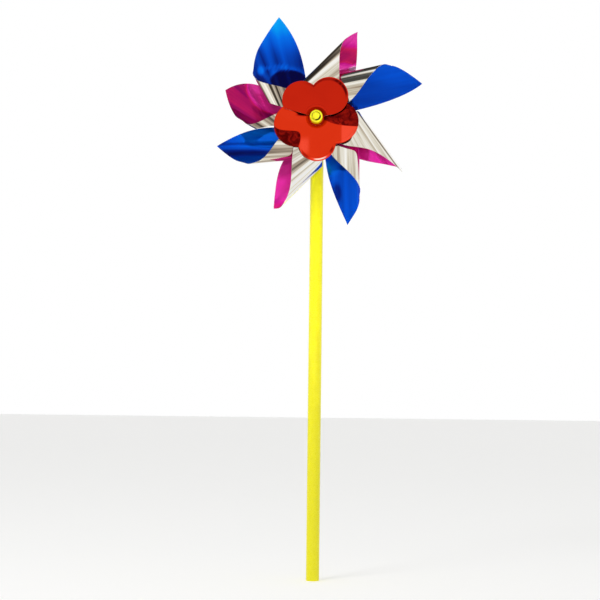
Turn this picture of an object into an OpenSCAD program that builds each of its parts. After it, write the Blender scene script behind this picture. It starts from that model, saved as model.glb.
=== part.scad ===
/* [Stick] */
// outside diameter of the plastic tube, mm
stick_d = 8.4; // [5:0.1:14]
// wall thickness of the tube, mm
stick_wall = 0.8; // [0.4:0.05:2]
// length of the tube, mm
stick_len = 305; // [150:1:600]
// height of the wheel axis above the lower end, mm
hub_z = 290; // [100:1:590]

/* [Axle] */
// diameter of the pin shaft, mm
pin_d = 2.4; // [1.5:0.1:4]
// diameter of the pin head, mm
pin_head_d = 4.4; // [3:0.1:8]
// thickness of the pin head, mm
pin_head_t = 2.3; // [0.5:0.1:3]
// how far the head stands off centre, mm
pin_head_off = 0.3; // [0:0.05:0.35]
// running clearance on the radius between pin and hub, mm
run_fit = 0.08; // [0.02:0.01:0.1]
// end play of the wheel along the pin, mm
end_play = 0.4; // [0.3:0.05:1]
// diameter of the cap behind the stick, mm
keeper_d = 6.4; // [4:0.1:10]
// how far the cap stands out behind the stick, mm
keeper_out = 2.6; // [1:0.1:6]
// outside diameter of the stand-off collar, mm
collar_d = 5.6; // [4:0.1:8]
// gap the collar keeps between stick and wheel, mm
collar_out = 2.4; // [1:0.1:8]

/* [Hub] */
// outside diameter of the hub tube, mm
hub_tube_d = 5.4; // [4:0.1:8]
// outside diameter of the hub cap, mm
hub_cap_d = 7.8; // [6:0.1:14]
// length of the hub cap in front of the flower, mm
hub_cap_len = 7; // [3:0.1:12]
// diameter of the recess around the pin head, mm
hub_recess_d = 5.7; // [4:0.1:8]
// depth of the recess around the pin head, mm
hub_recess = 2.6; // [0.8:0.1:4]
// outside diameter of the spacer tube inside the curls, mm
spacer_d = 7.6; // [6.2:0.1:12]
// outside diameter of the washer behind the wheel, mm
washer_d = 11; // [7:0.1:20]
// thickness of the washer behind the wheel, mm
washer_t = 0.9; // [0.4:0.1:3]

/* [Foil] */
// thickness of the foil sheets, mm
foil_t = 0.22; // [0.15:0.01:0.5]
// thickness of the punched centre and the stacked tabs, mm
stack_t = 0.5; // [0.3:0.05:1]
// height of the blue curls between centre and tabs, mm
blue_rise = 20.6; // [12:0.1:30]
// height of the magenta curls between centre and tabs, mm
magenta_rise = 22.6; // [12:0.1:30]
// slope at which a vane leaves the centre, degrees
leave_slope = 20; // [5:1:40]
// slope at which a curl comes back to the hub, degrees
return_slope = 9; // [0:1:20]
// how far the lower side of a curl reaches, mm
lower_pull = 20; // [10:1:40]

/* [Vanes] */
// number of vanes on each sheet
vanes_per_sheet = 4; // [4:1:4]
// direction of the curl axes of the blue sheet, degrees
blue_axis = [89, 7, -89, -190]; // [-200:1:200]
// widening of the blue curls per mm along their axis
blue_flare = [0.024, 0.004, 0.001, 0.012]; // [0:0.001:0.025]
// reach of the front side of the blue curls, mm
blue_pull = [35, 38, 39, 34]; // [30:1:50]
// place of the free tip around the blue curls, 0 centre 1 hub
blue_tip_at = [0.1, 0.17, 0.25, 0.21]; // [0.1:0.01:0.7]
// length of the blue vanes along their curl axis, mm
blue_tip_len = [68.5, 69.5, 65.5, 60]; // [35:0.5:80]
// bow of the cut edge of the blue vanes, 1 straight
blue_cut_bow = [0.3, 0.6, 0.3, 0.3]; // [0.3:0.05:1]
// extra width of the blue vanes near the start of the cut
blue_cut_fill = [0, 0.3, -0.2, -0.05]; // [-0.3:0.05:0.4]
// bow of the returning edge of the blue vanes, 1 straight
blue_back_bow = [0.4, 0.3, 0.3, 0.35]; // [0.3:0.05:1]
// extra width of the blue vanes near the end of the returning edge
blue_back_fill = [-0.3, -0.25, -0.25, -0.3]; // [-0.5:0.05:0]
// extra width of the blue vanes behind the tip
blue_nose_fill = [-1.35, -0.25, -0.25, -0.7]; // [-1.5:0.05:0]
// set-back of the inner edge of the blue vanes, mm
blue_set_back = [12, 5, 5, 5]; // [2:1:15]
// direction of the curl axes of the magenta sheet, degrees
magenta_axis = [14, -74, -167, 118]; // [-200:1:200]
// widening of the magenta curls per mm along their axis
magenta_flare = [0.021, 0.014, 0.024, 0.024]; // [0:0.001:0.025]
// reach of the front side of the magenta curls, mm
magenta_pull = [42, 37, 36, 40]; // [30:1:50]
// place of the free tip around the magenta curls, 0 centre 1 hub
magenta_tip_at = [0.45, 0.65, 0.42, 0.23]; // [0.1:0.01:0.7]
// length of the magenta vanes along their curl axis, mm
magenta_tip_len = [38.5, 46.5, 38.5, 46]; // [35:0.5:80]
// bow of the cut edge of the magenta vanes, 1 straight
magenta_cut_bow = [0.3, 0.3, 0.3, 0.3]; // [0.3:0.05:1]
// extra width of the magenta vanes near the start of the cut
magenta_cut_fill = [0.15, -0.05, 0.15, 0.4]; // [-0.3:0.05:0.4]
// bow of the returning edge of the magenta vanes, 1 straight
magenta_back_bow = [0.3, 0.35, 0.3, 0.3]; // [0.3:0.05:1]
// extra width of the magenta vanes near the end of the returning edge
magenta_back_fill = [-0.1, -0.05, -0.1, -0.35]; // [-0.5:0.05:0]
// extra width of the magenta vanes behind the tip
magenta_nose_fill = [-0.75, -1.05, -0.65, -1.5]; // [-1.5:0.05:0]
// set-back of the inner edge of the magenta vanes, mm
magenta_set_back = [-2, 2, 3, 14]; // [-2:1:15]

/* [Flower] */
// thickness of the flower film, mm
flower_t = 0.22; // [0.15:0.01:0.5]
// directions of the two lobes of the upper flap, degrees
upper_lobe_at = [60, 131]; // [0:1:180]
// distance of the upper lobe centres from the hub, mm
upper_lobe_out = [15.6, 14.3]; // [12:0.1:18]
// radius of the upper lobes, mm
upper_lobe_r = [12, 12.1]; // [10:0.1:15]
// directions of the three lobes of the lower flap, degrees
lower_lobe_at = [200, 272, 349]; // [180:1:360]
// distance of the lower lobe centres from the hub, mm
lower_lobe_out = [13.2, 15.4, 12.7]; // [12:0.1:18]
// radius of the lower lobes, mm
lower_lobe_r = [14.2, 11.8, 13.9]; // [10:0.1:15]
// height of the upper flap over the film's seat on the hub, mm
upper_lift = 3.3; // [3.1:0.1:4]
// height of the lower flap over the film's seat on the hub, mm
lower_lift = 1.8; // [1.7:0.1:1.9]
// backward curl of the lobe rims, mm
rim_curl = 0.35; // [0:0.05:0.5]
// forward curl of the left lobe, mm per mm
cup_slope = 0.2; // [0:0.01:0.3]
// fall of the right lobe behind its crease, mm per mm
crease_fall = 0.18; // [0.1:0.01:0.2]

/* [Hidden] */
$fn = 96;
stick_r = stick_d / 2;
bore_r = stick_r - stick_wall;
collar_front = stick_r + collar_out;
washer_back = collar_front + end_play;
washer_front = washer_back + washer_t;
magenta_mid = washer_front + stack_t / 2;
sheet_gap = 0.5;
blue_mid = magenta_mid + stack_t + sheet_gap;
blue_tab = blue_mid + blue_rise;
magenta_tab = magenta_mid + magenta_rise;
hub_shoulder = magenta_tab + stack_t / 2 + stack_t;
flower_mid = hub_shoulder - stack_t / 2;
hub_front = hub_shoulder + hub_cap_len;
head_seat = hub_front - hub_recess + end_play;
keeper_back = stick_r + keeper_out;
press = 0.02;
slip = 0.06;
keeper_floor = 0.6;
pin_lap = 0.5;
head_lap = 0.2;
blue_plate_r = 7;
magenta_plate_r = 9.5;
tab_r = 4.8;
tab_x = 3.8;
blue_root_x = 4.5;
magenta_root_x = 8;
blue_root_v = 4;
magenta_root_v = 5.5;
blue_inner_v = 0.5;
magenta_inner_v = 1.5;
tab_half = 1.7;
rise_flare = 0.2;
inner_power = 0.6;
steps_cut = 8;
steps_back = 16;
steps_v = 8;
// the flower's centre disc and the angles each flap spans
flower_hold_r = 4.6;
flower_root_r = 3.6;
flap_seat = 0.12;
hold_fade = 2;
rim_share = 0.08;
upper_from = 10;
upper_to = 165;
lower_from = 158;
lower_to = 388;
// the lower flap: its crease to the right, its slopes, the cup of its left lobe, the pocket by its slit
crease_x = 3;
crease_drop = 6.2;
crease_run = 7;
lower_tilt = 0.07;
right_slope = 0.08;
left_slope = 0.02;
cup_low = 4;
cup_lean = 0.3;
cup_left = 26;
cup_right = 9;
cup_blend = 5;
pocket_depth = 0.9;
pocket_at = 160;
pocket_angle = 9;
pocket_r = 9.5;
pocket_reach = 3.5;
steps_upper = 44;
steps_lower = 64;
steps_flap = 9;
chrome_yellow = [0.97, 0.93, 0.1];
foil_blue = [0, 0.25, 0.75];
foil_magenta = [0.85, 0.08, 0.6];
film_red = [0.8, 0.16, 0.07];

// a cylinder from depth d0 to depth d1 in front of the stick, on the wheel axis
module rod(r, d0, d1) {
    translate([0, -d0, hub_z])
        rotate([90, 0, 0])
            cylinder(r = r, h = d1 - d0);
}

module ring(r, hole, d0, d1) {
    difference() {
        rod(r, d0, d1);
        rod(hole, d0 - 1, d1 + 1);
    }
}

function lerp(a, b, t) = a + (b - a) * t;
function bez(p, t) = pow(1 - t, 3) * p[0] + 3 * pow(1 - t, 2) * t * p[1]
    + 3 * (1 - t) * t * t * p[2] + t * t * t * p[3];
function bez_d(p, t) = 3 * pow(1 - t, 2) * (p[1] - p[0]) + 6 * (1 - t) * t * (p[2] - p[1])
    + 3 * t * t * (p[3] - p[2]);

// section of a curl: four control points in the plane across its axis
function section(root_x, pull, rise) = [
    [root_x, 0],
    [root_x + lower_pull * cos(leave_slope), lower_pull * sin(leave_slope)],
    [tab_x + pull * cos(return_slope), rise - pull * sin(return_slope)],
    [tab_x, rise]];

// outer and inner edge of a vane along the curl axis, as a function of the place t around the curl;
// f is [tip_at, tip_len, cut_bow, cut_fill, back_bow, back_fill, nose_fill, set_back]
function edge_out(t, f, root_v) = t < f[0]
    ? let (u = t / f[0]) root_v + (f[1] - root_v) * pow(u, f[2]) * (1 + f[3] * (1 - u))
    : let (w = (1 - t) / (1 - f[0])) tab_half + (f[1] - tab_half) * pow(w, f[4])
        * (1 + f[5] * (1 - w) + f[6] * w * (1 - w));
function edge_in(t, set_back, inner_v) = (1 - t) * inner_v - tab_half * t
    + set_back * pow(max(0, sin(180 * t)), inner_power);

function unit(v) = v / norm(v);

// point and normal of a vane surface
function vane_point(s, axis, flare, mid, t, v) =
    let (q = bez(s, t), x = q[0] * (1 + v * flare), y = q[1] * (1 + v * flare * rise_flare))
    [v * cos(axis) - x * sin(axis), -(mid + y), hub_z + v * sin(axis) + x * cos(axis)];
function vane_normal(s, axis, flare, t, v) =
    let (q = bez(s, t), g = bez_d(s, t),
        gx = g[0] * (1 + v * flare), gy = g[1] * (1 + v * flare * rise_flare),
        a = [-gx * sin(axis), -gy, gx * cos(axis)],
        hx = q[0] * flare, hy = q[1] * flare * rise_flare,
        b = [cos(axis) - hx * sin(axis), -hy, sin(axis) + hx * cos(axis)])
    unit(cross(a, b));

// closed thin shell over a grid of points with normals
module shell(grid, thick) {
    n = len(grid);
    m = len(grid[0]);
    top = [for (i = [0 : n - 1]) for (j = [0 : m - 1]) grid[i][j][0] + grid[i][j][1] * thick / 2];
    low = [for (i = [0 : n - 1]) for (j = [0 : m - 1]) grid[i][j][0] - grid[i][j][1] * thick / 2];
    k = n * m;
    quads = [for (i = [0 : n - 2]) for (j = [0 : m - 2])
        [i * m + j, i * m + j + 1, (i + 1) * m + j + 1, (i + 1) * m + j]];
    rim = concat(
        [for (j = [0 : m - 2]) [j, j + 1]],
        [for (i = [0 : n - 2]) [i * m + m - 1, (i + 1) * m + m - 1]],
        [for (j = [m - 1 : -1 : 1]) [(n - 1) * m + j, (n - 1) * m + j - 1]],
        [for (i = [n - 1 : -1 : 1]) [i * m, (i - 1) * m]]);
    faces = concat(
        [for (q = quads) [q[0], q[1], q[2]]],
        [for (q = quads) [q[0], q[2], q[3]]],
        [for (q = quads) [q[2] + k, q[1] + k, q[0] + k]],
        [for (q = quads) [q[3] + k, q[2] + k, q[0] + k]],
        [for (e = rim) [e[1], e[0], e[0] + k]],
        [for (e = rim) [e[1], e[0] + k, e[1] + k]]);
    polyhedron(points = concat(top, low), faces = faces, convexity = 6);
}

module vane(s, axis, flare, mid, f, root_v, inner_v) {
    ts = concat(
        [for (i = [0 : steps_cut]) f[0] * pow(i / steps_cut, 3)],
        [for (i = [1 : steps_back]) 1 - (1 - f[0]) * pow(1 - i / steps_back, 2)]);
    grid = [for (t = ts) [for (j = [0 : steps_v])
        let (v = lerp(edge_in(t, f[7], inner_v), edge_out(t, f, root_v), j / steps_v))
        [vane_point(s, axis, flare, mid, t, v), vane_normal(s, axis, flare, t, v)]]];
    shell(grid, foil_t);
}

module sheet(mid, rise, plate_r, root_x, root_v, inner_v, axes, flares, pulls, forms) {
    union() {
        ring(plate_r, hub_tube_d / 2 + slip, mid - stack_t / 2, mid + stack_t / 2);
        ring(tab_r, hub_tube_d / 2 + slip, mid + rise - stack_t / 2, mid + rise + stack_t / 2);
        for (i = [0 : vanes_per_sheet - 1])
            vane(section(root_x, pulls[i], rise), axes[i], flares[i], mid, forms[i], root_v, inner_v);
    }
}

module stick() {
    color(chrome_yellow)
        difference() {
            cylinder(r = stick_r, h = stick_len);
            translate([0, 0, -1])
                cylinder(r = bore_r, h = stick_len + 2);
            rod(pin_d / 2, -stick_r - 1, stick_r + 1);
        }
}

module axle_pin() {
    color(chrome_yellow)
        union() {
            rod(pin_d / 2 + press, -keeper_back + keeper_floor, stick_r);
            rod(pin_d / 2, stick_r - pin_lap, head_seat + head_lap);
            translate([-pin_head_off * cos(45), 0, pin_head_off * sin(45)])
                rod(pin_head_d / 2, head_seat, head_seat + pin_head_t);
        }
}

module pin_keeper() {
    color(chrome_yellow)
        difference() {
            rod(keeper_d / 2, -keeper_back, 0);
            rod(pin_d / 2, -keeper_back + keeper_floor, 1);
            translate([0, 0, hub_z - keeper_d])
                cylinder(r = stick_r, h = 2 * keeper_d);
        }
}

module stand_off_collar() {
    color(chrome_yellow)
        difference() {
            rod(collar_d / 2, 0, collar_front);
            rod(pin_d / 2 + slip, -1, collar_front + 1);
            translate([0, 0, hub_z - collar_d])
                cylinder(r = stick_r, h = 2 * collar_d);
        }
}

module hub_sleeve() {
    color(chrome_yellow)
        difference() {
            union() {
                rod(hub_tube_d / 2, washer_back, hub_shoulder + 1);
                rod(hub_cap_d / 2, hub_shoulder, hub_front);
            }
            rod(pin_d / 2 + run_fit, washer_back - 1, hub_front + 1);
            rod(hub_recess_d / 2, hub_front - hub_recess, hub_front + 1);
        }
}

module curl_spacer() {
    color(chrome_yellow)
        ring(spacer_d / 2, hub_tube_d / 2 + slip, blue_mid + stack_t / 2, blue_tab - stack_t / 2);
}

module rear_washer() {
    color(chrome_yellow)
        ring(washer_d / 2, hub_tube_d / 2 - press, washer_back, washer_front);
}

module blue_foil() {
    forms = [for (i = [0 : vanes_per_sheet - 1]) [blue_tip_at[i], blue_tip_len[i], blue_cut_bow[i],
        blue_cut_fill[i], blue_back_bow[i], blue_back_fill[i], blue_nose_fill[i], blue_set_back[i]]];
    color(foil_blue)
        sheet(blue_mid, blue_rise, blue_plate_r, blue_root_x, blue_root_v, blue_inner_v,
            blue_axis, blue_flare, blue_pull, forms);
}

module magenta_foil() {
    forms = [for (i = [0 : vanes_per_sheet - 1]) [magenta_tip_at[i], magenta_tip_len[i],
        magenta_cut_bow[i], magenta_cut_fill[i], magenta_back_bow[i], magenta_back_fill[i],
        magenta_nose_fill[i], magenta_set_back[i]]];
    color(foil_magenta)
        sheet(magenta_mid, magenta_rise, magenta_plate_r, magenta_root_x, magenta_root_v,
            magenta_inner_v, magenta_axis, magenta_flare, magenta_pull, forms);
}

// radius of a flap's outline in a direction: the outermost of its lobe circles
function lobe_reach(a, at, out, r) =
    let (off = a - at, s = out * sin(off))
    cos(off) > 0 && abs(s) < r ? out * cos(off) + sqrt(r * r - s * s) : 0;
function upper_edge(a) = max([for (i = [0 : len(upper_lobe_at) - 1])
    lobe_reach(a, upper_lobe_at[i], upper_lobe_out[i], upper_lobe_r[i])]);
function lower_edge(a) = max([for (i = [0 : len(lower_lobe_at) - 1])
    lobe_reach(a, lower_lobe_at[i], lower_lobe_out[i], lower_lobe_r[i])]);

// heights of the two flaps over the film's seat, from the place right (x) and up (z) of the hub
function crease_z(x) = -crease_drop * (1 - exp(-max(0, x - crease_x) / crease_run));
function lower_plane(x, z) = lower_lift + lower_tilt * (z + crease_drop)
    + (x > 0 ? right_slope : left_slope) * x;
function cup(x, z) = cup_slope * max(0, -z - cup_low - cup_lean * (x + cup_left))
    * min(1, max(0, -x - cup_right) / cup_blend);
function pocket(r, a) = pocket_depth
    * exp(-pow((a - pocket_at) / pocket_angle, 2) - pow((r - pocket_r) / pocket_reach, 2));
function lower_height(r, a) = let (x = r * cos(a), z = r * sin(a), c = crease_z(x))
    x > crease_x && z > c ? lower_plane(x, c) - crease_fall * (z - c)
        : lower_plane(x, z) + cup(x, z) - pocket(r, a);
function flap_height(r, a, edge, upper) =
    let (fade = 1 - exp(-max(0, r - flower_hold_r) / hold_fade),
        w = max(0, r / edge - 1 + rim_share) / rim_share,
        seat = upper ? flap_seat : -flap_seat,
        h = upper ? upper_lift : lower_height(r, a))
    seat + (h - seat) * fade - rim_curl * w * w;
function flower_point(r, a, edge, upper) =
    [r * cos(a), -(flower_mid + flap_height(r, a, edge, upper)), hub_z + r * sin(a)];
function flower_normal(r, a, edge, upper) =
    let (e = 0.05, f = 0.2, p = flower_point(r, a, edge, upper),
        q = flower_point(r + e, a, edge, upper), s = flower_point(r, a + f, edge, upper))
    unit(cross(s - p, q - p));

module flap(a0, a1, upper, steps_a, steps_r) {
    grid = [for (i = [0 : steps_a])
        let (a = lerp(a0, a1, i / steps_a), edge = upper ? upper_edge(a) : lower_edge(a))
        [for (j = [0 : steps_r])
            let (r = lerp(flower_root_r, edge, pow(j / steps_r, 1.3)))
            [flower_point(r, a, edge, upper), flower_normal(r, a, edge, upper)]]];
    shell(grid, flower_t);
}

module flower() {
    color(film_red)
        union() {
            ring(flower_hold_r, hub_tube_d / 2 + slip, flower_mid - stack_t / 2, flower_mid + stack_t / 2);
            flap(upper_from, upper_to, true, steps_upper, steps_flap);
            flap(lower_from, lower_to, false, steps_lower, steps_flap);
        }
}

stick();
axle_pin();
pin_keeper();
stand_off_collar();
hub_sleeve();
curl_spacer();
rear_washer();
blue_foil();
magenta_foil();
flower();
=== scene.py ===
import math

import bmesh
import bpy
import numpy as np
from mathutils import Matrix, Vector


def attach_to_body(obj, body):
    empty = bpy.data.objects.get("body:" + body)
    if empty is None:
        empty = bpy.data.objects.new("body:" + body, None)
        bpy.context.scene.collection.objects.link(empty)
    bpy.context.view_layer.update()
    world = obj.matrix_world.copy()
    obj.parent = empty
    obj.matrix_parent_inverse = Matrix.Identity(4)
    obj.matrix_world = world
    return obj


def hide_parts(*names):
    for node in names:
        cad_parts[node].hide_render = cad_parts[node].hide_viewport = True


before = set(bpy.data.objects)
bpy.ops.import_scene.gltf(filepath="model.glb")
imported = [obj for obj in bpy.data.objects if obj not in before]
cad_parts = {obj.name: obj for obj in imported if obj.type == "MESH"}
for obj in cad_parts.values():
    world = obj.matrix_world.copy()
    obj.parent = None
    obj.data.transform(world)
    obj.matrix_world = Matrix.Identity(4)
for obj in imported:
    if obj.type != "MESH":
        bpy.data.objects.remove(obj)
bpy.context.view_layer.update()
MM = 0.001

# ---------------------------------------------------------------- sizes in mm, as in the CAD part
# depths are measured forward from the stick's axis
STICK_R, STICK_WALL, STICK_LEN = 4.2, 0.8, 305.0
HUB_Z = 290.0
# the pin, its gap in the bore and its rear end, then its head: offset, gap over the recess floor and lap
PIN_R, PIN_GAP, PIN_BACK = 1.2, 0.08, 6.2
HEAD_R, HEAD_T, HEAD_OFF, HEAD_GAP, HEAD_LAP = 2.2, 2.3, 0.3, 0.4, 0.3
WASHER_BACK, WASHER_FRONT = 7.0, 7.9
# the hub: its tube, the gap round it, and the cap with its recess
TUBE_R, TUBE_GAP = 2.7, 0.06
CAP_R, CAP_LEN, RECESS_R, RECESS = 3.9, 7.0, 2.85, 2.6
# the sheets: thickness where they are stacked, gap between them, rise of the curls to the tabs
STACK_T, SHEET_GAP = 0.5, 0.5
BLUE_RISE, MAGENTA_RISE = 20.6, 22.6
MAGENTA_MID = WASHER_FRONT + STACK_T / 2
BLUE_MID = MAGENTA_MID + STACK_T + SHEET_GAP
SHOULDER = MAGENTA_MID + MAGENTA_RISE + STACK_T * 1.5
FLOWER_MID = SHOULDER - STACK_T / 2
HUB_FRONT = SHOULDER + CAP_LEN
HEAD_SEAT = HUB_FRONT - RECESS + HEAD_GAP

# the film of the visual model and its punched discs
FILM_T = 0.12
DISC_T = STACK_T * 0.9
TAB_DISC_R, DISC_RINGS = 4.8, 4
ROUND_STEPS, CORNER_STEPS = 96, 4

# the section that every curl shares: angles at its two ends, pull of the lower end, place and half width
# of the tab, share of the flare that goes into the rise, and how squarely the inner edge sets back
LEAVE, RETURN = math.radians(20), math.radians(9)
LOWER_PULL, TAB_X, TAB_HALF, RISE_FLARE = 20.0, 3.8, 1.7, 0.2
INNER_POWER = 0.6
# points of a vane round its curl, before and after the tip, and across it
CUT_STEPS, BACK_STEPS, ACROSS_STEPS = 40, 70, 60
# small steps, around and along a curl, for the slope of its surface
CURVE_STEP, AROUND_STEP, ALONG_STEP = 1e-4, 1e-3, 0.05
# length over which the painted light rises towards a tip, mm, and the shift of the painted reflection
# streaks from vane to vane
TIP_RUN, STREAK_SHIFT = 30, 97.0

# a vane: direction of the curl axis, flare per mm, reach of the front side, place of the tip around the
# curl, length along the axis, bow and fill of the cut edge, bow and fill of the returning edge, fill
# behind the tip, set-back of the inner edge
VANE_FIELDS = ("axis", "flare", "reach", "tip_at", "length", "cut_bow", "cut_fill",
               "back_bow", "back_fill", "nose_fill", "set_back")
BLUE_VANES = [
    (89, 0.024, 35, 0.1, 68.5, 0.3, 0, 0.4, -0.3, -1.35, 12),
    (7, 0.004, 38, 0.17, 69.5, 0.6, 0.3, 0.3, -0.25, -0.25, 5),
    (-89, 0.001, 39, 0.25, 65.5, 0.3, -0.2, 0.3, -0.25, -0.25, 5),
    (-190, 0.012, 34, 0.21, 60, 0.3, -0.05, 0.35, -0.3, -0.7, 5),
]
MAGENTA_VANES = [
    (14, 0.021, 42, 0.45, 38.5, 0.3, 0.15, 0.3, -0.1, -0.75, -2),
    (-74, 0.014, 37, 0.65, 46.5, 0.3, -0.05, 0.35, -0.05, -1.05, 2),
    (-167, 0.024, 36, 0.42, 38.5, 0.3, 0.15, 0.3, -0.1, -0.65, 3),
    (118, 0.024, 40, 0.23, 46, 0.3, 0.4, 0.3, -0.35, -1.5, 14),
]

# the flower: direction, distance from the hub and radius of each lobe circle
UPPER_LOBES = ((60, 15.6, 12.0), (131, 14.3, 12.1))
LOWER_LOBES = ((200, 13.2, 14.2), (272, 15.4, 11.8), (349, 12.7, 13.9))
# the angles in degrees that each flap spans, and its points round the hub and outwards
UPPER_SPAN, LOWER_SPAN = (10, 165), (158, 388)
UPPER_STEPS, LOWER_STEPS, FLAP_STEPS = 200, 300, 70
# the flaps are held flat inside HOLD_R, lift in front of it and curl back near the rim
HOLD_R, ROOT_R, HOLD_FADE, FLAP_SEAT = 4.6, 3.6, 1.0, 0.12
UPPER_LIFT, LOWER_LIFT, RIM_CURL, RIM_SHARE = 3.3, 1.8, 0.35, 0.08
# slopes of the lower flap, its crease at the right and its pocket at the left
CUP_SLOPE, CREASE_FALL, LOWER_TILT, RIGHT_SLOPE, LEFT_SLOPE = 0.2, 0.18, 0.07, 0.08, 0.02
CREASE_X, CREASE_DROP, CREASE_RUN = 3, 6.2, 7
POCKET_DEPTH, POCKET_AT, POCKET_R = 0.9, 160, 9.5


# ---------------------------------------------------------------- mesh helpers
def to_world(p):
    """(right, depth in front of the stick, up from the hub) in mm to the row frame in metres."""
    p = np.asarray(p, float)
    return np.stack([p[..., 0], -p[..., 1], HUB_Z + p[..., 2]], -1) * MM


def unit(v):
    return v / np.linalg.norm(v, axis=-1, keepdims=True)


def soft_step(x):
    x = np.clip(x, 0, 1)
    return x * x * (3 - 2 * x)


def make_object(name, verts, faces, mats, index=None, smooth=True, attrs=None):
    me = bpy.data.meshes.new(name)
    me.from_pydata([tuple(v) for v in verts], [], faces)
    for m in mats:
        me.materials.append(m)
    if index is not None:
        me.polygons.foreach_set("material_index", np.asarray(index, np.int32))
    me.polygons.foreach_set("use_smooth", [smooth] * len(me.polygons))
    for key, values in (attrs or {}).items():
        a = me.attributes.new(key, "FLOAT", "POINT")
        a.data.foreach_set("value", np.asarray(values, np.float32))
    me.validate()
    me.update()
    ob = bpy.data.objects.new(name, me)
    bpy.context.scene.collection.objects.link(ob)
    return ob


def clean(ob):
    """Welds points that coincide, turns all faces outwards and keeps the edges between materials crisp."""
    bm = bmesh.new()
    bm.from_mesh(ob.data)
    bmesh.ops.remove_doubles(bm, verts=bm.verts, dist=1e-7)
    bmesh.ops.recalc_face_normals(bm, faces=bm.faces)
    for e in bm.edges:
        if len({f.material_index for f in e.link_faces}) > 1:
            e.smooth = False
    bm.to_mesh(ob.data)
    bm.free()
    return ob


def attach(ob, node, body):
    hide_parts(node)
    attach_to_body(ob, body)


class Shell:
    """Collects closed thin sheets, each with an outer layer, an inner layer and a rim."""

    INNER, OUTER, RIM = 0, 1, 2

    def __init__(self):
        self.verts, self.faces, self.index = [], [], []
        self.attr = {"along": [], "around": [], "painted_light": []}

    @staticmethod
    def border(ids, rows, ring):
        """The open edges of a grid of points, as pairs: two circles if it is a ring, else one loop."""
        if ring:
            after = (rows + 1) % len(ids)
            return list(zip(ids[after, 0], ids[rows, 0])) + list(zip(ids[rows, -1], ids[after, -1]))
        loop = list(ids[0, :]) + list(ids[1:, -1]) + list(ids[-1, -2::-1]) + list(ids[-2:0:-1, 0])
        return list(zip(loop, loop[1:] + loop[:1]))

    def grid(self, points, normals, thick, along, around, painted_light=None, outer=None, ring=False):
        """Adds a sheet from its middle surface, with painted light and shade on its layers; the outer
        layer's may differ.
        """
        n, m = points.shape[:2]
        k = n * m
        base = sum(len(v) for v in self.verts)
        ids = base + np.arange(k).reshape(n, m)
        rows = np.arange(n if ring else n - 1)
        here, after = ids[rows], ids[(rows + 1) % n]
        back = np.stack([here[:, :-1], here[:, 1:], after[:, 1:], after[:, :-1]], -1).reshape(-1, 4)
        front = back[:, ::-1] + k
        sides = np.array([(y, x, x + k, y + k) for x, y in self.border(ids, rows, ring)])
        layers = [points + normals * thick / 2, points - normals * thick / 2]
        self.verts += [to_world(p.reshape(-1, 3)) for p in layers]
        # a sheet given no painted light or shade gets the plain level 0.5
        shade = np.full((n, m), 0.5) if painted_light is None else painted_light
        pairs = {"along": (along, along), "around": (around, around),
                 "painted_light": (shade if outer is None else outer, shade)}
        for key, both in pairs.items():
            self.attr[key] += [a.ravel() for a in both]
        self.faces += np.concatenate([back, front, sides]).tolist()
        self.index += [self.OUTER] * len(back) + [self.INNER] * len(front) + [self.RIM] * len(sides)

    def build(self, name, materials):
        attrs = {key: np.concatenate(values) for key, values in self.attr.items()}
        return clean(make_object(name, np.concatenate(self.verts), self.faces, materials, self.index,
                                 attrs=attrs))


def turned(name, points, material, attrs=None):
    """A closed turned body from its rings of points in metres, one ring for each step of the turn."""
    n, m = points.shape[:2]
    ids = np.arange(n * m).reshape(n, m)
    ahead, after = np.roll(ids, -1, 1), np.roll(ids, -1, 0)
    faces = np.stack([ids, ahead, np.roll(ahead, -1, 0), after], -1).reshape(-1, 4)
    return clean(make_object(name, points.reshape(-1, 3), faces.tolist(), [material], attrs=attrs))


def turn_angles():
    return np.linspace(0, 2 * math.pi, ROUND_STEPS, endpoint=False)


def rings(r, d):
    """The points (right, depth, up) of a (radius, depth) profile at every step of a turn."""
    ang = turn_angles()
    still = np.ones(ROUND_STEPS)
    return np.stack([np.outer(np.cos(ang), r), np.outer(still, d), np.outer(np.sin(ang), r)], -1)


def lathe(name, profile, material, recess_shade):
    """Turns a closed (radius, depth) profile in mm about the wheel axis; its last argument paints shade in
    the recesses.
    """
    r, d = np.asarray(profile, float).T
    dark = recess_shade(r[None, :], d[None, :], np.degrees(turn_angles())[:, None])
    return turned(name, to_world(rings(r, d)), material, {"recess_shade": dark.ravel()})


def rounded(corners, radii):
    """Rounds every corner of a closed polygon of (r, d) points, each with its own radius."""
    pts = [np.array(c, float) for c in corners]
    out = []
    for i, (p, radius) in enumerate(zip(pts, radii)):
        a, b = pts[i - 1] - p, pts[(i + 1) % len(pts)] - p
        la, lb = np.linalg.norm(a), np.linalg.norm(b)
        if radius <= 0:
            out.append(tuple(p))
            continue
        t = min(radius, 0.45 * la, 0.45 * lb)
        pa, pb = p + a / la * t, p + b / lb * t
        for s in np.linspace(0, 1, CORNER_STEPS + 1):
            out.append(tuple((1 - s) ** 2 * pa + 2 * s * (1 - s) * p + s * s * pb))
    return out


# ---------------------------------------------------------------- node helpers
def nodes_of(name):
    m = bpy.data.materials.new(name)
    m.use_nodes = True
    nt = m.node_tree
    return m, nt, nt.nodes["Principled BSDF"]


def link(nt, a, b):
    nt.links.new(a, b)


def ramp(nt, source, stops):
    r = nt.nodes.new("ShaderNodeValToRGB")
    e = r.color_ramp.elements
    while len(e) < len(stops):
        e.new(0.5)
    for el, (pos, col) in zip(e, stops):
        el.position = pos
        el.color = (*col, 1)
    link(nt, source, r.inputs["Fac"])
    return r.outputs["Color"]


def grey_ramp(nt, source, stops):
    return ramp(nt, source, [(pos, (level,) * 3) for pos, level in stops])


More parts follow.
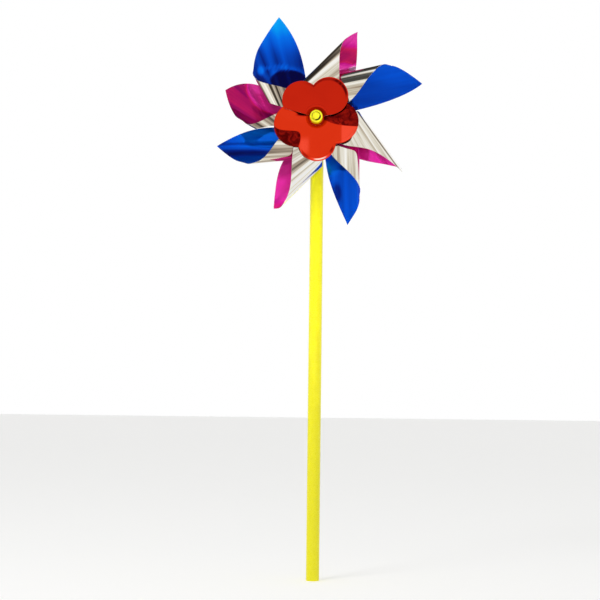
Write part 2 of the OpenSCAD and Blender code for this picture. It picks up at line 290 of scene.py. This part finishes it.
def noise(nt, vector, scale, detail=2.0, rough=0.5, twist=0.0):
    n = nt.nodes.new("ShaderNodeTexNoise")
    n.inputs["Scale"].default_value = scale
    n.inputs["Detail"].default_value = detail
    n.inputs["Roughness"].default_value = rough
    n.inputs["Distortion"].default_value = twist
    link(nt, vector, n.inputs["Vector"])
    return n.outputs["Fac"]


def object_coords(nt):
    return nt.nodes.new("ShaderNodeTexCoord").outputs["Object"]


def attribute(nt, name):
    a = nt.nodes.new("ShaderNodeAttribute")
    a.attribute_name = name
    return a.outputs["Fac"]


def math_node(nt, op, a, b):
    k = nt.nodes.new("ShaderNodeMath")
    k.operation = op
    for socket, value in zip(k.inputs, (a, b)):
        if isinstance(value, (int, float)):
            socket.default_value = value
        else:
            link(nt, value, socket)
    return k.outputs[0]


def centred(nt, value, size):
    """Noise from 0 to 1 made to swing about zero, times a number or another socket."""
    return math_node(nt, "MULTIPLY", math_node(nt, "SUBTRACT", value, 0.5), size)


def multiply_colours(nt, a, b):
    mix = nt.nodes.new("ShaderNodeMix")
    mix.data_type = "RGBA"
    mix.blend_type = "MULTIPLY"
    mix.inputs["Factor"].default_value = 1.0
    link(nt, a, mix.inputs["A"])
    link(nt, b, mix.inputs["B"])
    return mix.outputs["Result"]


def sheet_coords(nt, along_scale, around_scale):
    """Coordinates that follow the film: stretched along the curl axis, fine around the curl."""
    c = nt.nodes.new("ShaderNodeCombineXYZ")
    link(nt, math_node(nt, "MULTIPLY", attribute(nt, "along"), along_scale), c.inputs["X"])
    link(nt, math_node(nt, "MULTIPLY", attribute(nt, "around"), around_scale), c.inputs["Y"])
    return c.outputs[0]


def bump(nt, height, strength, distance):
    b = nt.nodes.new("ShaderNodeBump")
    b.inputs["Strength"].default_value = strength
    b.inputs["Distance"].default_value = distance
    link(nt, height, b.inputs["Height"])
    return b.outputs["Normal"]


# ---------------------------------------------------------------- materials
# tints of the films, from the darkest painted reflection at 0 to the brightest painted highlight at 1
BLUE_TINTS = [(0.0, (0.0, 0.0, 0.05)), (0.25, (0.0, 0.012, 0.20)), (0.5, (0.0, 0.075, 0.62)),
              (0.75, (0.0, 0.16, 0.88)), (1.0, (0.0, 0.38, 1.0))]
MAGENTA_TINTS = [(0.0, (0.08, 0.0, 0.05)), (0.25, (0.22, 0.0, 0.11)), (0.4, (0.62, 0.012, 0.11)),
                 (0.5, (0.66, 0.007, 0.30)), (0.75, (0.84, 0.05, 0.42)), (1.0, (1.0, 0.5, 0.85))]
SILVER_TINTS = [(0.0, (0.01, 0.01, 0.01)), (0.2, (0.10, 0.08, 0.06)), (0.35, (0.42, 0.34, 0.26)),
                (0.5, (0.74, 0.70, 0.60)), (0.62, (0.90, 0.88, 0.84)), (0.75, (0.98, 0.98, 0.97))]
RED_TINTS = [(0.0, (0.04, 0.0, 0.0)), (0.2, (0.15, 0.003, 0.003)), (0.35, (0.32, 0.008, 0.004)),
             (0.5, (0.59, 0.019, 0.006)), (0.68, (0.77, 0.036, 0.008)), (0.85, (0.99, 0.077, 0.037)),
             (1.0, (1.0, 0.85, 0.75))]


def foil_material(name, stops, spread, grain, metal, smooth, rough):
    """Mirror film: painted reflections and shade on the sheet, shifted by painted reflection streaks that
    follow the curl, pick the tint.
    """
    m, nt, p = nodes_of(name)
    p.inputs["Metallic"].default_value = metal
    p.inputs["Specular IOR Level"].default_value = 0.1
    # painted reflection streaks that run along the curl
    painted_streaks = noise(nt, sheet_coords(nt, 0.012, grain), 1.0, 3.0, 0.6)
    painted_light = math_node(nt, "ADD", attribute(nt, "painted_light"), centred(nt, painted_streaks, spread))
    link(nt, ramp(nt, painted_light, stops), p.inputs["Base Color"])
    fine = noise(nt, object_coords(nt), 900.0, 3.0)
    link(nt, grey_ramp(nt, fine, [(0.35, smooth), (0.7, rough)]), p.inputs["Roughness"])
    soft = noise(nt, sheet_coords(nt, 0.015, 0.16), 1.0, 1.0, 0.4)
    link(nt, bump(nt, soft, 0.25, 0.0016), p.inputs["Normal"])
    return m


def film_material(name, stops):
    """Red film of the flower: painted reflections and shade pick the tint; where the painted shade is deep
    the film is crumpled and mottled.
    """
    m, nt, p = nodes_of(name)
    p.inputs["Metallic"].default_value = 1.0
    painted_light = attribute(nt, "painted_light")
    mottle = noise(nt, object_coords(nt), 170.0, 3.0, 0.6, 1.6)
    # the deepest painted shade gets a mottled painted reflection and crumpling bumps
    crumple_shade_mask = grey_ramp(nt, painted_light, [(0.2, 1), (0.42, 0)])
    shift = math_node(nt, "MULTIPLY", centred(nt, mottle, crumple_shade_mask), 1.1)
    cloud = centred(nt, noise(nt, object_coords(nt), 60.0, 2.0), 0.06)
    total = math_node(nt, "ADD", math_node(nt, "ADD", painted_light, shift), cloud)
    link(nt, ramp(nt, total, stops), p.inputs["Base Color"])
    link(nt, grey_ramp(nt, mottle, [(0.35, 0.06), (0.7, 0.14)]), p.inputs["Roughness"])
    link(nt, bump(nt, math_node(nt, "MULTIPLY", mottle, crumple_shade_mask), 0.5, 0.0006), p.inputs["Normal"])
    return m


def plastic_material(name, shade, deep, rough=0.28):
    """Cloudy plastic; an attribute paints shade on it where a recess gets no light."""
    m, nt, p = nodes_of(name)
    cloud = noise(nt, object_coords(nt), 220.0, 4.0)
    tint = ramp(nt, cloud, [(0.3, deep), (0.7, shade)])
    # painted shade in the recesses, from none to near black
    recess_shade = ramp(nt, attribute(nt, "recess_shade"), [(0.15, (1, 1, 1)), (0.85, (0.03, 0.025, 0.0))])
    link(nt, multiply_colours(nt, tint, recess_shade), p.inputs["Base Color"])
    grain = noise(nt, object_coords(nt), 2600.0, 2.0)
    link(nt, grey_ramp(nt, grain, [(0.3, rough - 0.05), (0.7, rough + 0.07)]), p.inputs["Roughness"])
    link(nt, bump(nt, grain, 0.15, 0.00004), p.inputs["Normal"])
    p.inputs["Specular IOR Level"].default_value = 0.45
    p.inputs["Subsurface Weight"].default_value = 0.1
    p.inputs["Subsurface Radius"].default_value = (0.001, 0.0008, 0.0002)
    return m


MAT_BLUE = foil_material("blue_foil", BLUE_TINTS, spread=0.25, grain=0.25, metal=0.65,
                         smooth=0.05, rough=0.12)
MAT_MAGENTA = foil_material("magenta_foil", MAGENTA_TINTS, spread=0.25, grain=0.35, metal=0.6,
                            smooth=0.05, rough=0.12)
MAT_SILVER = foil_material("silver_foil", SILVER_TINTS, spread=0.9, grain=0.45, metal=1.0,
                           smooth=0.04, rough=0.10)
MAT_RED = film_material("red_film", RED_TINTS)
MAT_EDGE = plastic_material("film_edge", (0.85, 0.85, 0.86), (0.70, 0.70, 0.72))
MAT_STICK = plastic_material("stick_plastic", (0.80, 0.74, 0.0), (0.77, 0.71, 0.0))
MAT_HUB = plastic_material("hub_plastic", (0.84, 0.76, 0.01), (0.80, 0.70, 0.0), 0.22)


# ---------------------------------------------------------------- vanes
# painted reflections and shade of the inner side: base level, rise of the painted light to the tip, painted
# bands (place around the curl, width, gain) and painted pools, light or shade by the sign of the gain
# (right of the hub, up from the hub, half width, half height, gain, softness); "outer" is the base level of
# the painted reflections on the silver side and "lines" are its painted bands
BLUE_LOOKS = [
    {"base": 0.40, "tip": 0.58, "tip_from": 39,
     "bands": [(0.03, 0.03, -0.1), (0.13, 0.012, 0.1), (0.17, 0.015, -0.12), (0.22, 0.01, 0.12),
               (0.27, 0.02, -0.14), (0.33, 0.012, 0.1), (0.42, 0.05, -0.12)],
     "pools": [(-18, 28, 13, 9, 0.12, 0.4), (-18, 27.5, 11.5, 7, -0.55, 0.2),
               (-36, 33, 2.0, 2.8, 0.35, 1.0), (-24, 36.5, 4, 1.0, 0.2, 1.0),
               (-32, 35, 2.0, 1.0, 0.2, 1.0), (-37, 22, 8, 6, -0.22, 1.0)],
     "outer": 0.39,
     "lines": [(0.55, 0.02, 0.2), (0.66, 0.025, -0.2), (0.73, 0.015, 0.25),
               (0.78, 0.008, -0.4), (0.82, 0.007, -0.4), (0.89, 0.03, -0.12)]},
    {"base": 0.40,
     "pools": [(45, 33, 24, 7, 0.1, 1.0)],
     "outer": 0.52,
     "lines": [(0.76, 0.012, 0.2), (0.735, 0.006, -0.25), (0.88, 0.03, -0.16)]},
    {"base": 0.48,
     "bands": [(0.1, 0.02, 0.06), (0.2, 0.02, -0.06)],
     "pools": [(12.5, -45, 3.2, 7, -0.25, 0.9), (10, -24, 6, 8, 0.2, 1.0)],
     "outer": 0.5,
     "lines": [(0.62, 0.03, 0.2), (0.85, 0.012, 0.2), (0.91, 0.02, -0.12)]},
    {"base": 0.62, "tip": -0.28, "tip_from": 40,
     "bands": [(0.19, 0.012, -0.2), (0.28, 0.035, -0.36)],
     "pools": [(-44, -22, 15, 5, -0.2, 1.0)],
     "outer": 0.37,
     "lines": [(0.77, 0.025, -0.14), (0.68, 0.02, 0.12), (0.85, 0.02, 0.1)]},
]
MAGENTA_LOOKS = [
    {"base": 0.48,
     "pools": [(22, 57, 14, 9, 0.22, 0.9), (19, 44, 12, 7, -0.13, 0.6),
               (24, 36, 3.5, 1.6, 0.5, 1.0), (17, 33, 7, 5, 0.3, 1.0)],
     "outer": 0.5,
     "lines": [(0.77, 0.012, 0.25), (0.66, 0.07, -0.28)]},
    {"base": 0.58,
     "outer": 0.52,
     "lines": [(0.6, 0.02, 0.25), (0.67, 0.008, -0.45), (0.70, 0.01, 0.2), (0.77, 0.01, -0.25)]},
    {"base": 0.6,
     "pools": [(-27, -57, 9, 7, -0.16, 1.0)],
     "outer": 0.62,
     "lines": [(0.75, 0.01, -0.2), (0.82, 0.022, -0.34), (0.9, 0.02, -0.2)]},
    {"base": 0.29,
     "pools": [(-27, 25, 18, 18, 0.4, 0.2)],
     "bands": [(0.14, 0.008, 0.04), (0.19, 0.012, 0.05), (0.26, 0.02, 0.06)],
     "outer": 0.29,
     "lines": [(0.76, 0.02, 0.16)]},
]

# a sheet: where its curls leave the hub, their rise, the depth of the sheet's centre, its disc, where the
# edges start along the axis, and the seed of its ripples
BLUE_SHEET = {"vanes": BLUE_VANES, "looks": BLUE_LOOKS, "colour": MAT_BLUE, "root_x": 4.5,
              "rise": BLUE_RISE, "mid": BLUE_MID, "disc_r": 7.0, "root_v": 4.0, "inner_v": 0.5, "seed": 11}
MAGENTA_SHEET = {"vanes": MAGENTA_VANES, "looks": MAGENTA_LOOKS, "colour": MAT_MAGENTA, "root_x": 8.0,
                 "rise": MAGENTA_RISE, "mid": MAGENTA_MID, "disc_r": 9.5, "root_v": 5.5, "inner_v": 1.5,
                 "seed": 31}
RIPPLES = ((2.5, 0.35), (4.5, 0.22), (8.0, 0.08))


def curl(vane, sheet, t):
    """The section of a curl in mm, sideways and forward, for t from the sheet's centre to its tab."""
    reach, rise, root_x = vane["reach"], sheet["rise"], sheet["root_x"]
    p = np.array([
        [root_x, 0],
        [root_x + LOWER_PULL * math.cos(LEAVE), LOWER_PULL * math.sin(LEAVE)],
        [TAB_X + reach * math.cos(RETURN), rise - reach * math.sin(RETURN)],
        [TAB_X, rise]])
    t = t[..., None]
    return (1 - t) ** 3 * p[0] + 3 * (1 - t) ** 2 * t * p[1] + 3 * (1 - t) * t * t * p[2] + t ** 3 * p[3]


def edge_out(t, vane, sheet):
    root_v, tip_at, length = sheet["root_v"], vane["tip_at"], vane["length"]
    u = np.clip(t / tip_at, 0, 1)
    w = np.clip((1 - t) / (1 - tip_at), 0, 1)
    cut = root_v + (length - root_v) * u ** vane["cut_bow"] * (1 + vane["cut_fill"] * (1 - u))
    fill = 1 + vane["back_fill"] * (1 - w) + vane["nose_fill"] * w * (1 - w)
    back = (length - TAB_HALF) * w ** vane["back_bow"] * fill
    return np.where(t < tip_at, cut, TAB_HALF + back)


def edge_in(t, vane, sheet):
    swell = np.sin(np.pi * np.clip(t, 0, 1)) ** INNER_POWER
    return (1 - t) * sheet["inner_v"] - TAB_HALF * t + vane["set_back"] * swell


def ripple(t, seed):
    """Soft ripples of the film that run along the curl axis, in mm."""
    rng = np.random.default_rng(seed)
    out = np.zeros_like(t)
    for waves, size in RIPPLES:
        out += size * np.sin(2 * math.pi * (waves * t + rng.random()))
    return out * np.sin(np.pi * np.clip(t, 0, 1)) ** 1.5


def vane_surface(vane, sheet, t, v, seed):
    """Points of a vane for t around the curl and v along its axis, in mm from the hub."""
    axis, flare = math.radians(vane["axis"]), vane["flare"]
    q = curl(vane, sheet, t)
    ahead, behind = np.clip(t + CURVE_STEP, 0, 1), np.clip(t - CURVE_STEP, 0, 1)
    g = unit(curl(vane, sheet, ahead) - curl(vane, sheet, behind))
    w = ripple(t, seed)
    x = (q[..., 0] - g[..., 1] * w) * (1 + v * flare)
    y = (q[..., 1] + g[..., 0] * w) * (1 + v * flare * RISE_FLARE)
    return np.stack([v * math.cos(axis) - x * math.sin(axis), sheet["mid"] + y,
                     v * math.sin(axis) + x * math.cos(axis)], -1)


def banded(bands, t):
    return sum((gain * np.exp(-((t - at) / width) ** 2) for at, width, gain in bands), np.zeros_like(t))


def vane_painted_light(look, p, t, v):
    """Painted light and shade of a vane's inner side, from the look's base, tip, bands along the curl and
    pools (mm).
    """
    out = look["base"] + look.get("tip", 0) * soft_step((v - look.get("tip_from", 0)) / TIP_RUN)
    out = out + banded(look.get("bands", ()), t)
    for x, z, rx, rz, gain, soft in look.get("pools", ()):
        d = np.hypot((p[..., 0] - x) / rx, (p[..., 2] - z) / rz)
        out = out + gain * soft_step((1 - d) / soft + 0.5)
    return np.clip(out, 0, 1)


def add_vane(shell, vane, look, sheet, seed):
    tip_at = vane["tip_at"]
    ts = np.concatenate([tip_at * (np.arange(CUT_STEPS) / CUT_STEPS) ** 3,
                         1 - (1 - tip_at) * (1 - np.arange(BACK_STEPS + 1) / BACK_STEPS) ** 2])
    t = np.repeat(ts[:, None], ACROSS_STEPS, 1)
    lo, hi = edge_in(ts, vane, sheet), edge_out(ts, vane, sheet)
    v = lo[:, None] + (hi - lo)[:, None] * np.linspace(0, 1, ACROSS_STEPS)

    def place(t, v):
        return vane_surface(vane, sheet, t, v, seed)

    p = place(t, v)
    around = place(np.clip(t + AROUND_STEP, 0, 1), v) - place(np.clip(t - AROUND_STEP, 0, 1), v)
    along = place(t, v + ALONG_STEP) - place(t, v - ALONG_STEP)
    steps = np.linalg.norm(np.diff(curl(vane, sheet, ts), axis=0), axis=1)
    arc = np.concatenate([[0], np.cumsum(steps)])
    # each vane starts at its own place in the painted reflection streaks
    shell.grid(p, unit(np.cross(along, around)), FILM_T, v,
               np.repeat(arc[:, None], ACROSS_STEPS, 1) + STREAK_SHIFT * seed,
               # painted reflections and shade on the inner layer, then on the silver outer layer
               painted_light=vane_painted_light(look, p, t, v), outer=look["outer"] + banded(look["lines"], t))


def add_disc(shell, outer_r, mid):
    """Adds a flat punched disc that lies across the wheel's axis, with its bore round the hub tube."""
    r = np.linspace(TUBE_R + TUBE_GAP, outer_r, DISC_RINGS)
    p = rings(r, np.full(DISC_RINGS, mid))
    nrm = np.zeros_like(p)
    nrm[..., 1] = -1.0
    around = np.repeat(turn_angles()[:, None], DISC_RINGS, 1) * 5
    shell.grid(p, nrm, DISC_T, np.repeat(r[None], ROUND_STEPS, 0), around, ring=True)


def foil_sheet(node, sheet):
    shell = Shell()
    vanes = [dict(zip(VANE_FIELDS, values)) for values in sheet["vanes"]]
    for i, (vane, look) in enumerate(zip(vanes, sheet["looks"])):
        add_vane(shell, vane, look, sheet, sheet["seed"] + i)
    add_disc(shell, sheet["disc_r"], sheet["mid"])
    add_disc(shell, TAB_DISC_R, sheet["mid"] + sheet["rise"])
    attach(shell.build(node + "_film", [sheet["colour"], MAT_SILVER, MAT_EDGE]), node, "wheel")


# ---------------------------------------------------------------- flower
def flap_edge(a, lobes):
    out = np.zeros_like(a)
    for at, dist, r in lobes:
        off = np.radians(a - at)
        s = dist * np.sin(off)
        reach = dist * np.cos(off) + np.sqrt(np.maximum(r * r - s * s, 0))
        out = np.maximum(out, np.where((np.cos(off) > 0) & (np.abs(s) < r), reach, 0))
    return out


def crease_z(x):
    return -CREASE_DROP * (1 - np.exp(-np.maximum(0, x - CREASE_X) / CREASE_RUN))


def lower_plane(x, z):
    slope = np.where(x > 0, RIGHT_SLOPE, LEFT_SLOPE)
    return LOWER_LIFT + LOWER_TILT * (z + CREASE_DROP) + slope * x


def lower_height(r, a):
    """Height of the lower flap: a plane with a crease at the right, a cup and a pocket at the left."""
    x, z = r * np.cos(np.radians(a)), r * np.sin(np.radians(a))
    c = crease_z(x)
    cup = CUP_SLOPE * np.maximum(0, -z - 4 - 0.3 * (x + 26)) * np.clip((-x - 9) / 5, 0, 1)
    pocket = POCKET_DEPTH * np.exp(-((a - POCKET_AT) / 9) ** 2 - ((r - POCKET_R) / 3.5) ** 2)
    folded = lower_plane(x, c) - CREASE_FALL * (z - c)
    return np.where((x > CREASE_X) & (z > c), folded, lower_plane(x, z) + cup - pocket)


def flap_surface(r, a, edge, upper):
    fade = 1 - np.exp(-np.maximum(0, r - HOLD_R) / HOLD_FADE)
    w = np.maximum(0, r / edge - 1 + RIM_SHARE) / RIM_SHARE
    seat = FLAP_SEAT if upper else -FLAP_SEAT
    h = UPPER_LIFT if upper else lower_height(r, a)
    depth = FLOWER_MID + seat + (h - seat) * fade - RIM_CURL * w * w
    rad = np.radians(a)
    return np.stack([r * np.cos(rad), depth, r * np.sin(rad)], -1)


def blob(value, at, half):
    """1 within half of the place, with soft but short sides."""
    return np.exp(-((value - at) / half) ** 4)


def upper_painted_light(a, share):
    """Painted light of the upper flap: 0.5 plain, painted dark reflection where its rim is crumpled, a
    painted highlight along its rim at the upper right.
    """
    rim = blob(share, 0.945, 0.035)
    crumple_shade = 0.3 * rim * blob(a, 50, 14) + 0.14 * rim * blob(a, 84, 22)
    return 0.5 - crumple_shade + 0.1 * soft_step((share - 0.975) / 0.01) * blob(a, 65, 40)


def cup_shade_zone(x, z):
    """Where shade is painted as the film turns away at the lower left: below one curved line and left of
    another.
    """
    top = -z - 3.6 - 4.8 * (1 - np.exp(-np.maximum(x + 27.5, -3) / 2.5))
    side = -x - 9.7 - 0.03 * (z + 11.5) ** 2
    soft = 1.3
    corner = -soft * np.log(np.exp(-np.clip(top, -20, 20) / soft) + np.exp(-np.clip(side, -20, 20) / soft))
    return soft_step(corner / 0.5 + 0.5) * (x < 0)


def lower_painted_light(r, a, share):
    """Painted light of the lower flap: 0.68 plain, 0.84 in painted highlights, low where shade is painted
    in the fold, the cup and the slit.
    """
    x, z = r * np.cos(np.radians(a)), r * np.sin(np.radians(a))
    # painted shade: fold above the crease, slit, crumpled rim spots, rim; painted highlights: glow and
    # glint
    fold_shade = soft_step((z - crease_z(x)) / 0.5) * (x > CREASE_X)
    slit_shadow = soft_step((178 - a) / 8) * blob(r, 9.5, 3.0) * (a < 180)
    glow_highlight = soft_step((x - 15.4) / 0.8) + blob(x, -7.8, 3.3) * blob(z, -17.7, 4.8)
    crumple_shade = blob(share, 0.96, 0.03) * blob(a, 253, 7) + blob(share, 0.93, 0.04) * blob(a, 296, 4)
    glint = blob(share, 0.957, 0.022) * blob(a, 276, 11)
    out = 0.68 + 0.16 * glow_highlight - 0.1 * soft_step((share - 0.975) / 0.01) - 0.34 * crumple_shade
    for part, level in ((fold_shade, 0.22), (cup_shade_zone(x, z), 0.22), (slit_shadow, 0.18), (glint, 1.0)):
        out = out * (1 - part) + level * part
    return out


def add_flap(shell, span, lobes, upper, steps):
    angles = np.linspace(*span, steps)
    a = np.repeat(angles[:, None], FLAP_STEPS, 1)
    edge = np.repeat(flap_edge(angles, lobes)[:, None], FLAP_STEPS, 1)
    r = ROOT_R + (edge - ROOT_R) * np.linspace(0, 1, FLAP_STEPS) ** 1.1
    across = flap_surface(r, a + 0.1, edge, upper) - flap_surface(r, a - 0.1, edge, upper)
    outward = flap_surface(r + 0.02, a, edge, upper) - flap_surface(r - 0.02, a, edge, upper)
    normals = unit(np.cross(across, outward))
    painted_light = upper_painted_light(a, r / edge) if upper else lower_painted_light(r, a, r / edge)
    shell.grid(flap_surface(r, a, edge, upper), normals, FILM_T, r, a * 0.3, painted_light=painted_light)


def flower():
    shell = Shell()
    add_flap(shell, UPPER_SPAN, UPPER_LOBES, True, UPPER_STEPS)
    add_flap(shell, LOWER_SPAN, LOWER_LOBES, False, LOWER_STEPS)
    add_disc(shell, HOLD_R, FLOWER_MID)
    attach(shell.build("flower_film", [MAT_RED, MAT_RED, MAT_EDGE]), "flower", "wheel")


# ---------------------------------------------------------------- plastic parts
def shadow(a):
    """Darkness in the recess round the pin head at an angle in degrees: deep at the lower right."""
    low = soft_step((np.cos(np.radians(a + 42)) - 0.25) / 0.35)
    return np.maximum(np.maximum(low, np.exp(-((a - 155) / 15) ** 2)), 0.2)


# painted shade in the hub's recess and on the pin head's side wall, deepest at the lower right
def hub_recess_shade(r, d, a):
    return (r < RECESS_R + 0.1) * (d < HUB_FRONT - 0.1) * (d > SHOULDER) * shadow(a)


def head_recess_shade(r, d, a):
    return (r > HEAD_R - 0.1) * (d < HEAD_SEAT + HEAD_T - 0.25) * shadow(a)


def hub():
    bore, bottom = PIN_R + PIN_GAP, HUB_FRONT - RECESS
    corners = [(bore, WASHER_BACK), (TUBE_R, WASHER_BACK), (TUBE_R, SHOULDER), (CAP_R, SHOULDER),
               (CAP_R, HUB_FRONT), (RECESS_R, HUB_FRONT), (RECESS_R, bottom), (bore, bottom)]
    profile = rounded(corners, [0.1, 0.2, 0.05, 0.25, 0.3, 0.12, 0.15, 0.1])
    attach(lathe("hub_turned", profile, MAT_HUB, hub_recess_shade), "hub_sleeve", "wheel")


def pin():
    back, front, head_front = -PIN_BACK, HEAD_SEAT + HEAD_LAP, HEAD_SEAT + HEAD_T
    shaft = rounded([(0, back), (PIN_R, back), (PIN_R, front), (0, front)], [0, 0.2, 0, 0])
    attach(lathe("pin_shaft", shaft, MAT_HUB, head_recess_shade), "axle_pin", "stick_group")
    head = rounded([(0, HEAD_SEAT), (HEAD_R, HEAD_SEAT), (HEAD_R, head_front), (0, head_front)],
                   [0, 0.2, 0.3, 0])
    ob = lathe("pin_head", head, MAT_HUB, head_recess_shade)
    # the head sits up and to the left of the shaft
    shift = HEAD_OFF * math.sqrt(0.5) * MM
    for vert in ob.data.vertices:
        vert.co.x -= shift
        vert.co.z += shift
    attach(ob, "axle_pin", "stick_group")


def stick():
    bore = STICK_R - STICK_WALL
    corners = [(bore, 0), (STICK_R, 0), (STICK_R, STICK_LEN), (bore, STICK_LEN)]
    r, z = np.array(rounded(corners, [0.18] * 4)).T
    upright = rings(r, z)[..., [0, 2, 1]]
    attach(turned("stick_tube", upright * MM, MAT_STICK), "stick", "stick_group")


# ---------------------------------------------------------------- stage
CEILING_TOWARDS = (0.0, 0.10, 0.995)
CEILING = [(0.0, 1), (0.72, 1), (0.77, 0.10), (1.0, 0.05)]
SURROUND = [(0.0, (0.92, 0.91, 0.86)), (0.15, (0.93, 0.92, 0.88)), (0.4, (0.97, 0.97, 0.95)),
            (0.55, (1, 1, 1))]
FLOOR_HALF = 20
CAMERA_AT, CAMERA_AIM, CAMERA_ROLL = Vector((0.020, -1.0, 0.108)), Vector((-0.00994, 0, 0.17797)), 0.66
VIEW_WIDTH, SENSOR = 0.3846, 36


def surround():
    """White all round, warmer in front, with a dark patch of ceiling for the film's dark bands."""
    world = bpy.data.worlds.new("studio")
    bpy.context.scene.world = world
    world.use_nodes = True
    nt = world.node_tree
    towards = nt.nodes.new("ShaderNodeTexCoord").outputs["Generated"]
    split = nt.nodes.new("ShaderNodeSeparateXYZ")
    link(nt, towards, split.inputs[0])
    depth = nt.nodes.new("ShaderNodeMapRange")
    depth.inputs["From Min"].default_value = -1
    depth.inputs["From Max"].default_value = 1
    link(nt, split.outputs["Y"], depth.inputs["Value"])
    cap = nt.nodes.new("ShaderNodeVectorMath")
    cap.operation = "DOT_PRODUCT"
    cap.inputs[1].default_value = Vector(CEILING_TOWARDS).normalized()
    link(nt, towards, cap.inputs[0])
    colour = multiply_colours(nt, ramp(nt, depth.outputs[0], SURROUND),
                              grey_ramp(nt, cap.outputs["Value"], CEILING))
    link(nt, colour, nt.nodes["Background"].inputs["Color"])
    nt.nodes["Background"].inputs["Strength"].default_value = 1.0


def floor():
    m, _, p = nodes_of("floor_pale")
    p.inputs["Base Color"].default_value = (0.9, 0.9, 0.9, 1)
    p.inputs["Roughness"].default_value = 0.9
    p.inputs["Emission Color"].default_value = (1, 1, 1, 1)
    p.inputs["Emission Strength"].default_value = 0.3
    corners = [(x * FLOOR_HALF, y * FLOOR_HALF, 0) for x, y in ((-1, -1), (1, -1), (1, 1), (-1, 1))]
    make_object("floor", corners, [(0, 1, 2, 3)], [m], smooth=False)


def area(name, place, aim, size, power, spread=180):
    lamp = bpy.data.lights.new(name, "AREA")
    lamp.shape = "RECTANGLE"
    lamp.size = size
    lamp.size_y = size
    lamp.energy = power
    lamp.spread = math.radians(spread)
    ob = bpy.data.objects.new(name, lamp)
    bpy.context.scene.collection.objects.link(ob)
    ob.location = place
    ob.rotation_euler = (Vector(aim) - Vector(place)).to_track_quat("-Z", "Y").to_euler()
    ob.visible_glossy = False


def camera():
    cam = bpy.data.cameras.new("camera")
    ob = bpy.data.objects.new("camera", cam)
    bpy.context.scene.collection.objects.link(ob)
    ob.location = CAMERA_AT
    ob.rotation_euler = (CAMERA_AIM - CAMERA_AT).to_track_quat("-Z", "Y").to_euler()
    ob.rotation_euler.rotate_axis("Z", math.radians(CAMERA_ROLL))
    cam.sensor_width = SENSOR
    cam.lens = SENSOR * (CAMERA_AIM - CAMERA_AT).length / VIEW_WIDTH
    bpy.context.scene.camera = ob


bpy.context.scene.view_settings.view_transform = "Standard"
camera()
surround()
floor()
area("key", (-0.8, -1.2, 1.0), (0, 0, 0.28), 0.5, 7)
area("fill", (0.1, -1.3, 0.22), (0, 0, 0.22), 0.1, 0.04, 12)
foil_sheet("blue_foil", BLUE_SHEET)
foil_sheet("magenta_foil", MAGENTA_SHEET)
flower()
hub()
pin()
stick()
for node in ("pin_keeper", "stand_off_collar", "curl_spacer", "rear_washer"):
    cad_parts[node].material_slots[0].material = MAT_HUB
